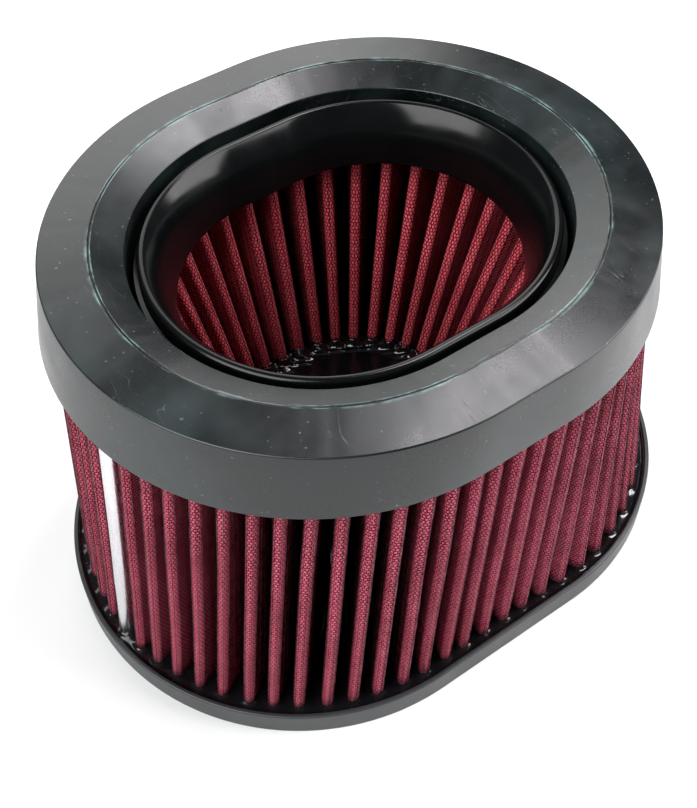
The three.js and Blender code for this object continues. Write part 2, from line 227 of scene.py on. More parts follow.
class Painter:
    """Builds one material from nodes, with short calls for the nodes used here."""

    def __init__(self, name):
        self.material = bpy.data.materials.new(name)
        self.material.use_nodes = True
        self.tree = self.material.node_tree
        self.shader = self.tree.nodes["Principled BSDF"]

    def node(self, kind, inputs=None, **settings):
        made = self.tree.nodes.new(kind)
        for key, value in settings.items():
            setattr(made, key, value)
        for key, value in (inputs or {}).items():
            self.put(made.inputs[key], value)
        return made

    def put(self, socket, value):
        if isinstance(value, bpy.types.NodeSocket):
            self.tree.links.new(value, socket)
        else:
            socket.default_value = value

    def set(self, **values):
        """Sets sockets of the shader; an underscore in a name stands for a space."""
        for key, value in values.items():
            self.put(self.shader.inputs[key.replace("_", " ")], value)

    def place(self, scale=(1, 1, 1)):
        """Object coordinates in millimetres, stretched by scale."""
        where = self.node("ShaderNodeTexCoord").outputs["Object"]
        factor = tuple(s / MM for s in scale)
        return self.node("ShaderNodeMapping", {"Vector": where, "Scale": factor}).outputs[0]

    def noise(self, where, scale, detail=2.0, roughness=0.5, distortion=0.0):
        made = self.node(
            "ShaderNodeTexNoise",
            {
                "Vector": where,
                "Scale": scale,
                "Detail": detail,
                "Roughness": roughness,
                "Distortion": distortion,
            },
        )
        return made.outputs["Fac"]

    def remap(self, value, low, high, to_low=0.0, to_high=1.0):
        made = self.node(
            "ShaderNodeMapRange",
            {
                "Value": value,
                "From Min": low,
                "From Max": high,
                "To Min": to_low,
                "To Max": to_high,
            },
        )
        return made.outputs[0]

    def math(self, operation, first, second=0.0, third=0.0):
        made = self.node("ShaderNodeMath", operation=operation)
        for socket, value in zip(made.inputs, (first, second, third)):
            self.put(socket, value)
        return made.outputs[0]

    def mix(self, factor, first, second, blend="MIX"):
        made = self.node("ShaderNodeMix", data_type="RGBA", blend_type=blend)
        self.put(made.inputs["Factor"], factor)
        self.put(made.inputs["A"], self.colour(first))
        self.put(made.inputs["B"], self.colour(second))
        return made.outputs["Result"]

    @staticmethod
    def colour(value):
        return (*value, 1) if isinstance(value, tuple) and len(value) == 3 else value

    def bump(self, height, strength, distance, below=None):
        made = self.node(
            "ShaderNodeBump",
            {"Height": height, "Strength": strength, "Distance": distance * MM},
        )
        if below is not None:
            self.put(made.inputs["Normal"], below)
        return made.outputs[0]


def scratches(paint, where, scale, width):
    """Thin wandering lines: 1 on a line and 0 away from it."""
    field = paint.noise(where, scale, detail=1.0, distortion=0.6)
    off = paint.math("ABSOLUTE", paint.math("SUBTRACT", field, 0.5))
    return paint.remap(off, 0.0, width, 1.0, 0.0)


def rubber_material():
    """Satin black cast polyurethane: soft blotches, fine grain, scuffs, pale dust, and a pale teal
    painted highlight along the top of the ridge.
    """
    paint = Painter("collar_rubber")
    here = paint.place()
    blotch = paint.remap(paint.noise(here, 0.045, 3.0, 0.6), 0.38, 0.66)
    grain = paint.noise(here, 1.6, 3.0, 0.6)
    base = paint.mix(blotch, (0.0015, 0.003, 0.0034), (0.0045, 0.006, 0.0066))
    dust = paint.remap(paint.noise(here, 0.9, 1.0), 0.745, 0.79)
    line = scratches(paint, paint.place((1.0, 0.12, 1.0)), 0.35, 0.004)
    patch = paint.remap(paint.noise(here, 0.06, 1.0), 0.52, 0.6)
    scuff = paint.math("MULTIPLY", line, patch)
    base = paint.mix(paint.math("MULTIPLY", dust, 0.5), base, (0.16, 0.18, 0.18))
    base = paint.mix(paint.math("MULTIPLY", scuff, 0.35), base, (0.12, 0.14, 0.14))
    bloom = paint.remap(paint.noise(here, 0.022, 4.0, 0.65), 0.47, 0.68)
    base = paint.mix(paint.math("MULTIPLY", bloom, 0.4), base, (0.024, 0.04, 0.04))
    height_mm = paint.node("ShaderNodeSeparateXYZ", {"Vector": here}).outputs["Z"]
    # Painted highlight: a pale teal line along the top of the ridge, broken into patches by a noise
    # mask.
    ridge_highlight = paint.remap(height_mm, RIDGE_Z - 0.13, RIDGE_Z - 0.05)
    patchy = paint.remap(paint.noise(here, 0.05, 4.0, 0.8), 0.42, 0.56)
    ridge_highlight = paint.math("MULTIPLY", ridge_highlight, patchy)
    base = paint.mix(paint.math("MULTIPLY", ridge_highlight, 0.8), base, (0.17, 0.27, 0.26))
    rough = paint.remap(blotch, 0.0, 1.0, 0.23, 0.33)
    rough = paint.math("ADD", rough, paint.math("MULTIPLY", grain, 0.08))
    rough = paint.math("ADD", rough, paint.math("MULTIPLY", scuff, 0.15))
    height = paint.math("ADD", grain, paint.math("MULTIPLY", scuff, -1.5))
    paint.set(
        Base_Color=base,
        Roughness=rough,
        IOR=1.5,
        Normal=paint.bump(height, 0.1, 0.05),
    )
    return paint.material


def throat_material():
    """Glossy black moulded ring with faint flow marks and handling smears."""
    paint = Painter("throat_moulding")
    here = paint.place()
    smear = paint.noise(paint.place((1.0, 1.0, 0.35)), 0.09, 3.0, 0.6)
    grain = paint.noise(here, 2.4, 2.0)
    base = paint.mix(smear, (0.001, 0.0012, 0.0013), (0.003, 0.0034, 0.0036))
    gloss = paint.remap(smear, 0.3, 0.7, 0.1, 0.2)
    rough = paint.math("ADD", gloss, paint.math("MULTIPLY", grain, 0.04))
    paint.set(
        Base_Color=base,
        Roughness=rough,
        Specular_IOR_Level=0.24,
        Normal=paint.bump(grain, 0.06, 0.04),
    )
    return paint.material


def bond_material():
    """Dark cast bond, matt, with small pits."""
    paint = Painter("top_bond")
    here = paint.place()
    cloud = paint.noise(here, 0.12, 3.0)
    pit = paint.remap(paint.noise(here, 1.1, 1.0), 0.3, 0.38)
    base = paint.mix(cloud, (0.008, 0.008, 0.009), (0.02, 0.02, 0.022))
    paint.set(
        Base_Color=base,
        Roughness=paint.remap(cloud, 0.3, 0.7, 0.42, 0.6),
        Normal=paint.bump(pit, 0.3, 0.1),
    )
    return paint.material


def wire_material(name, tint):
    """Drawn light-alloy wire with a thin film of tinted oil, thicker in places."""
    paint = Painter(name)
    here = paint.place()
    film = paint.remap(paint.noise(here, 0.55, 2.0), 0.35, 0.65)
    grain = paint.noise(here, 3.0, 2.0)
    base = paint.mix(film, (0.2, 0.09, 0.1), tint)
    smooth = paint.remap(film, 0.0, 1.0, 0.3, 0.42)
    paint.set(
        Base_Color=base,
        Metallic=1.0,
        Roughness=paint.math("ADD", smooth, paint.math("MULTIPLY", grain, 0.08)),
        Normal=paint.bump(grain, 0.1, 0.03),
    )
    return paint.material


ROW_PITCH = 1.02
CELL_WIDTH = 0.8


def gauze_material(name, pale, deep, gap):
    """Oiled cotton gauze: bulging cells in staggered rows, with fibres, uneven oil, and painted shade
    in the grooves between cells.
    """
    paint = Painter(name)
    weave = paint.node("ShaderNodeUVMap", uv_map="weave").outputs[0]
    here = paint.place()
    stray = paint.noise(here, 0.8, 2.0)
    nudge = paint.math("MULTIPLY", paint.math("SUBTRACT", stray, 0.5), 0.25)
    nudged = paint.node("ShaderNodeVectorMath", operation="ADD")
    paint.put(nudged.inputs[0], weave)
    shift = paint.node("ShaderNodeCombineXYZ", {"X": nudge, "Y": nudge})
    paint.put(nudged.inputs[1], shift.outputs[0])
    cells = paint.node(
        "ShaderNodeTexBrick",
        {
            "Vector": nudged.outputs[0],
            "Scale": 1.0,
            "Mortar Size": 0.2,
            "Mortar Smooth": 0.8,
            "Brick Width": CELL_WIDTH,
            "Row Height": ROW_PITCH,
            "Color1": (1, 1, 1, 1),
            "Color2": (0.55, 0.55, 0.55, 1),
            "Mortar": (0.8, 0.8, 0.8, 1),
        },
        offset=0.5,
    )
    groove = cells.outputs["Fac"]
    shade = paint.node("ShaderNodeRGBToBW", {"Color": cells.outputs["Color"]}).outputs[0]
    oil = paint.remap(paint.noise(here, 0.07, 3.0), 0.3, 0.7)
    fibre = paint.noise(paint.place((1.0, 1.0, 2.5)), 4.0, 2.0, 0.7)
    cloth = paint.mix(oil, pale, deep)
    cloth = paint.mix(paint.math("MULTIPLY", paint.math("SUBTRACT", 1.0, shade), 0.9), cloth, deep)
    cloth = paint.mix(paint.remap(fibre, 0.35, 0.7, 0.0, 0.35), cloth, pale)
    # Painted shade: the grooves between cells take the near-black gap colour.
    cloth = paint.mix(groove, cloth, gap)
    height = paint.math("ADD", paint.math("SUBTRACT", 1.0, groove), paint.math("MULTIPLY", fibre, 0.35))
    paint.set(
        Base_Color=cloth,
        Roughness=paint.remap(oil, 0.0, 1.0, 0.62, 0.45),
        Specular_IOR_Level=0.28,
        Sheen_Weight=0.04,
        Sheen_Roughness=0.5,
        Sheen_Tint=(1.0, 0.45, 0.55, 1),
        Normal=paint.bump(height, 0.8, 0.28),
    )
    return paint.material


def clip_material():
    """Bright rolled metal strip with fine lengthwise drawing lines."""
    paint = Painter("clip_metal")
    lines = paint.noise(paint.place((6.0, 6.0, 0.12)), 1.0, 3.0, 0.6)
    smear = paint.noise(paint.place((1, 1, 0.5)), 0.18, 2.0)
    base = paint.mix(smear, (0.78, 0.78, 0.8), (0.62, 0.6, 0.62))
    drawn = paint.remap(lines, 0.3, 0.7, 0.16, 0.28)
    paint.set(
        Base_Color=base,
        Metallic=1.0,
        Roughness=paint.math("ADD", drawn, paint.math("MULTIPLY", smear, 0.08)),
        Normal=paint.bump(lines, 0.08, 0.04),
    )
    return paint.material


def potting_material():
    """Poured black resin, wet-looking, with slow ripples and a few tiny bubbles."""
    paint = Painter("gloss_potting")
    here = paint.place()
    ripple = paint.noise(here, 0.16, 2.0)
    bubble = paint.remap(paint.noise(here, 0.8, 0.0), 0.74, 0.8)
    height = paint.math("ADD", ripple, paint.math("MULTIPLY", bubble, 0.12))
    paint.set(
        Base_Color=paint.mix(ripple, (0.0025, 0.0025, 0.003), (0.006, 0.006, 0.007)),
        Roughness=paint.remap(ripple, 0.3, 0.7, 0.07, 0.14),
        IOR=1.52,
        Normal=paint.bump(height, 0.25, 0.4),
    )
    return paint.material


def tray_material():
    """Satin moulded tray with grain, scuffed along its edges."""
    paint = Painter("tray_moulding")
    here = paint.place()
    cloud = paint.noise(here, 0.08, 3.0)
    grain = paint.noise(here, 2.2, 3.0, 0.6)
    edge = paint.node("ShaderNodeNewGeometry").outputs["Pointiness"]
    patchy = paint.remap(paint.noise(here, 0.5, 2.0), 0.4, 0.7)
    worn = paint.math("MULTIPLY", paint.remap(edge, 0.52, 0.6), patchy)
    base = paint.mix(cloud, (0.014, 0.0155, 0.017), (0.024, 0.026, 0.028))
    base = paint.mix(paint.math("MULTIPLY", worn, 0.5), base, (0.09, 0.095, 0.1))
    satin = paint.remap(cloud, 0.3, 0.7, 0.32, 0.42)
    paint.set(
        Base_Color=base,
        Roughness=paint.math("ADD", satin, paint.math("MULTIPLY", grain, 0.1)),
        Normal=paint.bump(grain, 0.1, 0.05),
    )
    return paint.material


# ---- Camera and studio ----------------------------------------------------------------------

IMAGE_HEIGHT_PX = 808
FOCAL_PX = 1200
SENSOR_MM = 36
CAMERA_AZIMUTH = math.radians(-34.49)
CAMERA_ELEVATION = math.radians(51.29)
CAMERA_ROLL = math.radians(-1.0)
CAMERA_DISTANCE = 277.2
AIM_RIGHT = -0.8
AIM_UP = -43.8


def camera_axes():
    """The camera's right, up and back directions."""
    level = math.cos(CAMERA_ELEVATION)
    back = Vector(
        (
            math.sin(CAMERA_AZIMUTH) * level,
            -math.cos(CAMERA_AZIMUTH) * level,
            math.sin(CAMERA_ELEVATION),
        )
    )
    right = Vector((math.cos(CAMERA_AZIMUTH), math.sin(CAMERA_AZIMUTH), 0))
    up = back.cross(right)
    turn_cos, turn_sin = math.cos(CAMERA_ROLL), math.sin(CAMERA_ROLL)
    return (
        right * turn_cos + up * turn_sin,
        up * turn_cos - right * turn_sin,
        back,
    )


def make_camera():
    right, up, back = camera_axes()
    data = bpy.data.cameras.new("camera")
    data.sensor_width = SENSOR_MM
    data.lens = FOCAL_PX * SENSOR_MM / IMAGE_HEIGHT_PX
    data.clip_start = 0.01
    data.clip_end = 20
    camera = bpy.data.objects.new("camera", data)
    aim = Vector((SHIFT, 0, COLLAR_EDGE_Z)) + right * AIM_RIGHT + up * AIM_UP
    matrix = Matrix((right, up, back)).transposed().to_4x4()
    matrix.translation = (aim + back * CAMERA_DISTANCE) * MM
    camera.matrix_world = matrix
    bpy.context.scene.collection.objects.link(camera)
    bpy.context.scene.camera = camera


def soft_light(name, towards, distance, size, power, target=(0, 0, 0.08), colour=(1, 1, 1)):
    """A rectangular softbox seen from the filter at (azimuth, elevation) degrees; metres."""
    azimuth, elevation = np.radians(towards)
    level = distance * math.cos(elevation)
    place = (level * math.cos(azimuth), level * math.sin(azimuth), distance * math.sin(elevation))
    data = bpy.data.lights.new(name, "AREA")
    data.shape = "RECTANGLE"
    data.size, data.size_y = size
    data.energy = power
    data.color = colour
    light = bpy.data.objects.new(name, data)
    light.location = place
    aim = Vector(target) - Vector(place)
    light.rotation_euler = aim.to_track_quat("-Z", "Y").to_euler()
    bpy.context.scene.collection.objects.link(light)


def make_studio():
    scene = bpy.context.scene
    scene.view_settings.view_transform = "Standard"
    world = bpy.data.worlds.new("studio")
    world.use_nodes = True
    background = world.node_tree.nodes["Background"]
    background.inputs["Color"].default_value = (0.85, 0.95, 1.0, 1)
    background.inputs["Strength"].default_value = 0.14
    scene.world = world
    paint = Painter("floor_paper")
    here = paint.place()
    paint.set(
        Base_Color=paint.mix(paint.noise(here, 0.02, 2.0), (0.76, 0.76, 0.76), (0.79, 0.79, 0.79)),
        Roughness=0.8,
    )
    mesh = bpy.data.meshes.new("floor")
    reach = 3.0
    corners = [(-reach, -reach, 0), (reach, -reach, 0), (reach, reach, 0), (-reach, reach, 0)]
    mesh.from_pydata(corners, [], [(0, 1, 2, 3)])
    mesh.materials.append(paint.material)
    floor = bpy.data.objects.new("floor", mesh)
    scene.collection.objects.link(floor)
    soft_light("back_wall", (73, 28), 1.6, (1.3, 1.5), 16, colour=(1, 0.99, 0.98))
    soft_light("top_right", (13, 67), 1.1, (0.34, 0.28), 6, colour=(1, 0.96, 1))
    soft_light("top_left", (190, 47), 1.0, (0.7, 0.7), 12)
    soft_light("low_right", (-35, 36), 0.9, (0.6, 0.6), 9, target=(0.12, -0.05, 0))


# ---- Collar ---------------------------------------------------------------------------------


def make_collar(material):
    recess_radius = SKIRT_RADIUS - SKIRT_WALL
    recess_straight = SKIRT_HALF_STRAIGHT - 0.6
    low, high = SKIRT_HALF_STRAIGHT, COLLAR_HALF_STRAIGHT
    section = []
    rounded(section, (SKIRT_RADIUS - 0.25, SKIRT_BOTTOM_Z + 0.25), 0.25, -90, 0, low, 4)
    for share in np.linspace(0, 1, 8)[1:-1]:
        radius = SKIRT_RADIUS + (COLLAR_RADIUS - SKIRT_RADIUS) * share
        z = SKIRT_BOTTOM_Z + (COLLAR_EDGE_Z - SKIRT_BOTTOM_Z) * share
        section.append((radius, low + (high - low) * share, z))
    rounded(section, (COLLAR_RADIUS - 0.45, COLLAR_EDGE_Z - 0.45), 0.45, 0, 84, high, 6)
    ridge_start = len(section)
    for offset, drop in ((0.5, 0.05), (0.38, 0.0), (0.24, 0.03), (0.13, 0.3), (-0.13, 0.3),
                         (-0.24, 0.03), (-0.38, 0.0), (-0.55, 0.08)):
        section.append((RIDGE_RADIUS + offset, high, RIDGE_Z - drop))
    ridge_end = len(section)
    rounded(section, (COLLAR_INNER_RADIUS + 0.45, COLLAR_INNER_EDGE_Z - 0.45), 0.45, 115, 180, high, 6)
    section.append((COLLAR_INNER_RADIUS, high, RECESS_CEILING_Z + 0.3))
    section.append((COLLAR_INNER_RADIUS, high, RECESS_CEILING_Z))
    section.append((recess_radius, recess_straight, RECESS_CEILING_Z))
    section.append((recess_radius, recess_straight, SKIRT_BOTTOM_Z))

    def nick_the_ridge(rows):
        """Small dents and wobbles along the parting line."""
        step = np.arange(rows.shape[1])
        for row in range(ridge_start, ridge_end):
            dent = np.clip(wander(step, 2.3, row) - 0.35, 0, 1)
            rows[row, :, 2] -= 0.16 * dent + 0.04 * (1 + wander(step, 9, 3))

    piece = ring_piece("collar_moulding", section, SHIFT, material, nick_the_ridge)
    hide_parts("collar")


def make_throat(material):
    straight = COLLAR_HALF_STRAIGHT
    flange_top = RECESS_CEILING_Z - 0.3
    flange_bottom = flange_top - FLANGE_THICKNESS
    ledge_radius = RIM_OUTER_RADIUS + LEDGE_WIDTH
    ledge_z = RIM_TOP_Z - LEDGE_DROP
    section = [
        (FLANGE_RADIUS, straight, flange_bottom),
        (FLANGE_RADIUS, straight, flange_top),
        (ledge_radius, straight, flange_top),
    ]
    ledge_corner = (ledge_radius - LEDGE_ROUND, ledge_z - LEDGE_ROUND)
    rounded(section, ledge_corner, LEDGE_ROUND, 0, 90, straight)
    section.append((RIM_OUTER_RADIUS + 0.15, straight, ledge_z))
    section.append((RIM_OUTER_RADIUS, straight, ledge_z + 0.2))
    centre, centre_z = RIM_OUTER_RADIUS - RIM_ROUND, RIM_TOP_Z - RIM_ROUND
    rim_end = 90 + math.degrees(FUNNEL_START_SLOPE)
    rounded(section, (centre, centre_z), RIM_ROUND, 0, rim_end, straight, 18)
    funnel_top, _, funnel_top_z = section[-1]
    width = funnel_top - THROAT_RADIUS
    height = funnel_top_z - THROAT_BOTTOM_Z
    share = math.tan(FUNNEL_START_SLOPE) * width / height
    first = math.acos(share / (1 - share))
    funnel_width = width / (1 - math.cos(first))
    funnel_height = height / math.sin(first)
    for angle in np.linspace(first, 0, 30)[1:]:
        radius = THROAT_RADIUS + funnel_width * (1 - math.cos(angle))
        section.append((radius, straight, THROAT_BOTTOM_Z + funnel_height * math.sin(angle)))
    section.append((THROAT_RADIUS + 0.3, straight, THROAT_BOTTOM_Z))
    section.append((THROAT_RADIUS + 1, straight, THROAT_BOTTOM_Z))
    section.append((ledge_radius, straight, flange_bottom))
    piece = ring_piece("throat_moulding_ring", section, SHIFT, material)
    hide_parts("throat_ring")


# ---- Pleats ---------------------------------------------------------------------------------

# How far folds stray from even places, and sway over their height, along the oval.
SWAY = 0.22
STRAY = 0.3
OVAL_LENGTH = 450


def oval_point(outline, fraction):
    """Points at fractions of an oval's length, counter-clockwise from its +X end."""
    radius, half, x = outline
    quarter, straight = math.pi * radius / 2, 2 * half
    length = 4 * quarter + 2 * straight
    along = np.mod(fraction, 1) * length
    stops = [quarter, quarter + straight, 3 * quarter + straight, 3 * quarter + 2 * straight]
    part = [along < stop for stop in stops]
    angle = np.select(part, [along, along, along - straight, along], along - 2 * straight) / radius
    px = np.select(
        part,
        [
            half + radius * np.cos(angle),
            half - (along - quarter),
            -half + radius * np.cos(angle),
            along - stops[2] - half,
        ],
        half + radius * np.cos(angle),
    )
    py = np.select(
        part,
        [
            radius * np.sin(angle),
            np.full_like(along, radius),
            radius * np.sin(angle),
            np.full_like(along, -radius),
        ],
        radius * np.sin(angle),
    )
    return np.stack([px + x, py], -1)


def resized(outline, extra):
    return (outline[0] + extra, outline[1], outline[2])


def fold_fraction(position, z):
    """Where folds lie along the outer ovals, with the small stray of hand-set pleats."""
    even = (position + PLEAT_PHASE) / PLEAT_COUNT
    angle = 2 * math.pi * (even - WIDEST_AT)
    swing = SWING_ONCE * np.sin(angle) + SWING_TWICE / 2 * np.sin(2 * angle)
    index = np.mod(np.round(position * 2), 2 * PLEAT_COUNT)
    stray = STRAY * scatter(index, 1) + SWAY * wander(z / 90 + 7 * index, 0.35, 2)
    return even + swing / (2 * math.pi) + stray / OVAL_LENGTH


def share_of(z, low, high):
    return min(max((z - low) / (high - low), 0), 1)


def outer_point(position, z, extra, at=None):
    """Points of the outer side at a height; at is the height that their stray is taken from."""
    fraction = fold_fraction(position, z if at is None else at)
    top_swing = TOP_SWING * np.sin(2 * math.pi * (fraction - TOP_SWING_AT))
    low = oval_point(resized(OUTER_BOTTOM, extra), fraction)
    high = oval_point(resized(OUTER_TOP, extra), fraction + TOP_TURN - top_swing)
    return low + (high - low) * share_of(z, TIPS_BOTTOM_Z, TIPS_TOP_Z)


def point_towards(outline, target):
    """Points of an oval in the directions of targets from the oval's middle."""
    radius, half, x = outline
    direction = target - np.array([x, 0])
    direction = direction / np.linalg.norm(direction, axis=1, keepdims=True)
    along = np.abs(direction[:, 0])
    across = np.maximum(np.abs(direction[:, 1]), 1e-9)
    round_reach = half * along + np.sqrt(np.maximum(radius**2 - (half * across) ** 2, 0))
    reach = np.where(radius * along <= half * across, radius / across, round_reach)
    return direction * reach[:, None] + np.array([x, 0])


def inner_point(position, z, extra):
    """Inner folds lie between the middle and the outer side, at half positions."""
    low = point_towards(resized(INNER_FLOOR, extra), outer_point(position, INNER_FLOOR_Z, 0, z))
    high = point_towards(resized(INNER_TOP, extra), outer_point(position, TIPS_TOP_Z, 0, z))
    return low + (high - low) * share_of(z, INNER_FLOOR_Z, TIPS_TOP_Z)


def inner_fold_radius(position):
    """Radius at each inner fold of the middle of the sandwich, smaller where they are close."""
    before = inner_point(position - 0.5, INNER_FLOOR_Z, 0)
    after = inner_point(position + 0.5, INNER_FLOOR_Z, 0)
    spacing = np.linalg.norm(after - before, axis=1)
    return np.minimum(INNER_TIP_SHARE * spacing, WIDEST_INNER_TIP) - HALF_THICKNESS


def flank_normal(outer, inner, inner_radius, side):
    """Unit vectors square to flanks, from the outer folds' centres to the flanks."""
    link = inner - outer
    length = np.linalg.norm(link, axis=-1, keepdims=True)
    link = link / length
    reach = (OUTER_FOLD_RADIUS + inner_radius[:, None]) / length
    across = np.stack([link[:, 1], -link[:, 0]], -1) * side
    return link * reach + across * np.sqrt(1 - reach * reach)


def arc(centre, radius, start, end, turn, shares):
    """Points on arcs, one row for each centre, at shares from 0 to 1 of each turn."""
    first = np.arctan2(start[:, 1], start[:, 0])
    sweep = np.mod((np.arctan2(end[:, 1], end[:, 0]) - first) * turn, 2 * math.pi) * turn
    angle = first[:, None] + sweep[:, None] * shares
    ring = np.stack([np.cos(angle), np.sin(angle)], -1)
    return centre[:, None, :] + ring * np.reshape(radius, (-1, 1, 1))


def between(first, last, shares):
    return first[:, None, :] + (last - first)[:, None, :] * shares[None, :, None]


INNER_RADII = inner_fold_radius(np.arange(PLEAT_COUNT) + 0.5)


def pleat_frame(z):
    """Fold centres and flank directions of every pleat at one height."""
    pleat = np.arange(PLEAT_COUNT, dtype=float)
    outer = outer_point(pleat, z, -OUTER_FOLD_RADIUS - HALF_THICKNESS)
    inner = inner_point(pleat + 0.5, z, 0)
    middle = np.array([INNER_FLOOR[2], 0])
    outward = inner - middle
    outward /= np.linalg.norm(outward, axis=1, keepdims=True)
    inner = inner + outward * (INNER_RADII[:, None] + HALF_THICKNESS)
    before = np.roll(inner, 1, axis=0)
    normal_before = flank_normal(outer, before, np.roll(INNER_RADII, 1), -1)
    normal_after = flank_normal(outer, inner, INNER_RADII, 1)
    return outer, inner, normal_before, normal_after


def zigzag(z, offset, outer_steps, flank_steps, inner_steps):
    """The pleated path at a distance from the middle of the sandwich, as (pleats, points, 2)."""
    outer, inner, normal_before, normal_after = pleat_frame(z)
    next_before = np.roll(normal_before, -1, axis=0)
    next_outer = np.roll(outer, -1, axis=0)
    out = OUTER_FOLD_RADIUS + offset
    into = INNER_RADII[:, None] - offset
    flank = np.linspace(0, 1, flank_steps + 1)[1:-1]
    outer_shares = np.linspace(0, 1, outer_steps + 1)
    inner_shares = np.linspace(0, 1, inner_steps + 1)
    parts = [
        arc(outer, out, normal_before, normal_after, 1, outer_shares),
        between(outer + normal_after * out, inner - normal_after * into, flank),
        arc(inner, into, -normal_after, -next_before, -1, inner_shares),
        between(inner - next_before * into, next_outer + next_before * out, flank),
    ]
    return np.concatenate(parts, axis=1)


def along_path(steps):
    """Distance along the middle of the sandwich to each point of the path, and its length."""
    path = zigzag((TIPS_BOTTOM_Z + TIPS_TOP_Z) / 2, 0.0, *steps).reshape(-1, 2)
    hops = np.linalg.norm(np.roll(path, -1, axis=0) - path, axis=1)
    return np.concatenate([[0], np.cumsum(hops)])


def loop_at(z, offset, steps):
    flat = zigzag(z, offset, *steps).reshape(-1, 2)
    return np.concatenate([flat, np.full((len(flat), 1), z)], axis=1)


BURIED = 0.6
GAUZE_STEPS = (8, 5, 6)


def make_gauze(name, node, offsets, material):
    """A closed pleated sheet with two faces, its ends set into the potting."""
    low, high = TIPS_BOTTOM_Z - BURIED, TIPS_TOP_Z + BURIED
    below = np.linspace(low, INNER_FLOOR_Z, 7)
    heights = np.concatenate([below, np.linspace(INNER_FLOOR_Z, high, 13)[1:]])
    outside, inside = offsets
    rows = [loop_at(z, outside, GAUZE_STEPS) for z in heights]
    rows += [loop_at(z, inside, GAUZE_STEPS) for z in heights[::-1]]
    rows = np.array(rows)
    faces, corner_rows, corner_columns = grid_faces(rows.shape[0], rows.shape[1], True, True)
    distance = along_path(GAUZE_STEPS)
    height = np.concatenate([heights, heights[::-1], heights[:1]])
    uv = np.stack([distance[corner_columns], height[corner_rows]], -1)
    piece = mesh_piece(name, rows.reshape(-1, 3), faces, material, uv)
    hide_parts(node)
    return piece


ROW_STEPS = (5, 1, 4)
COLUMN_STEPS = (3, 12, 2)
WIRE_HALF_WIDTH = 0.07


def screen_rows(base, crest):
    """Wires that run along the pleats, as one three-sided tube for each row."""
    points, faces = [], []
    start = math.ceil((TIPS_BOTTOM_Z - BURIED) / ROW_PITCH) * ROW_PITCH
    for z in np.arange(start, TIPS_TOP_Z + BURIED, ROW_PITCH):
        tube = np.array(
            [
                loop_at(z - WIRE_HALF_WIDTH, base, ROW_STEPS),
                loop_at(z, crest, ROW_STEPS),
                loop_at(z + WIRE_HALF_WIDTH, base, ROW_STEPS),
            ]
        )
        made, _, _ = grid_faces(3, tube.shape[1], True, True)
        faces.append(made + sum(len(p) for p in points))
        points.append(tube.reshape(-1, 3))
    return np.concatenate(points), np.concatenate(faces)


def screen_columns(base, crest):
    """Wires that run from the tray to the collar, as one three-sided tube for each."""
    below = np.linspace(TIPS_BOTTOM_Z - BURIED, INNER_FLOOR_Z, 4)
    above = np.linspace(INNER_FLOOR_Z, TIPS_TOP_Z + BURIED, 7)[1:]
    heights = np.concatenate([below, above])
    rings = []
    for z in heights:
        foot = loop_at(z, base, COLUMN_STEPS)
        tangent = np.roll(foot, -1, axis=0) - np.roll(foot, 1, axis=0)
        tangent /= np.linalg.norm(tangent, axis=1, keepdims=True)
        top = loop_at(z, crest, COLUMN_STEPS)
        rings.append([foot - tangent * WIRE_HALF_WIDTH, top, foot + tangent * WIRE_HALF_WIDTH])
    grid = np.array(rings).transpose(2, 0, 1, 3)
    count = grid.shape[0]
    made, _, _ = grid_faces(len(heights), 3, False, True)
    size = len(heights) * 3
    faces = (made[None] + (np.arange(count) * size)[:, None, None]).reshape(-1, 4)
    return grid.reshape(-1, 3), faces


def make_screen(name, node, row_offsets, column_offsets, material):
    row_points, row_faces = screen_rows(*row_offsets)
    column_points, column_faces = screen_columns(*column_offsets)
    points = np.concatenate([row_points, column_points])
    faces = np.concatenate([row_faces, column_faces + len(row_points)])
    if row_offsets[0] < 0:
        faces = faces[:, ::-1]
    piece = mesh_piece(name, points, faces, material)
    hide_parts(node)
    return piece


def make_pleats():
    # The third colour of each cotton is painted shade for the grooves between its cells.
    outer_cotton = gauze_material(
        "outer_cotton", (0.78, 0.11, 0.2), (0.42, 0.03, 0.07), (0.035, 0.002, 0.005)
    )
    inner_cotton = gauze_material(
        "inner_cotton", (0.9, 0.12, 0.16), (0.5, 0.035, 0.055), (0.04, 0.002, 0.004)
    )
    make_gauze("outer_cotton_pleats", "outer_gauze", (0.25, 0.05), outer_cotton)
    make_gauze("inner_cotton_pleats", "inner_gauze", (-0.05, -0.25), inner_cotton)
    make_screen(
        "outer_wire_cloth",
        "outer_screen",
        (0.24, 0.42),
        (0.28, 0.45),
        wire_material("outer_wire", (0.07, 0.012, 0.02)),
    )
    make_screen(
        "inner_wire_cloth",
        "inner_screen",
        (-0.24, -0.42),
        (-0.28, -0.45),
        wire_material("inner_wire", (0.09, 0.012, 0.015)),
    )


# ---- Seam clip ------------------------------------------------------------------------------

CLIP_LEG = 4.5
CLIP_THICKNESS = 0.4


def clip_line(z, radius, leg):
    """Half-section of the folded strip at one height and one distance from the fold."""
    outer, _, normal_before, normal_after = pleat_frame(z)
    chosen = slice(SEAM_PLEAT, SEAM_PLEAT + 1)
    before, after = normal_before[chosen], normal_after[chosen]
    tip = arc(outer[chosen], radius, before, after, 1, np.linspace(0, 1, 13))[0]
    leg_before = np.array([before[0, 1], -before[0, 0]])
    leg_after = np.array([-after[0, 1], after[0, 0]])
    shares = np.linspace(0, leg, 7)[1:]
    first = tip[0] + leg_before * shares[::-1, None]
    last = tip[-1] + leg_after * shares[:, None]
    flat = np.concatenate([first, tip, last])
    return np.concatenate([flat, np.full((len(flat), 1), z)], axis=1)


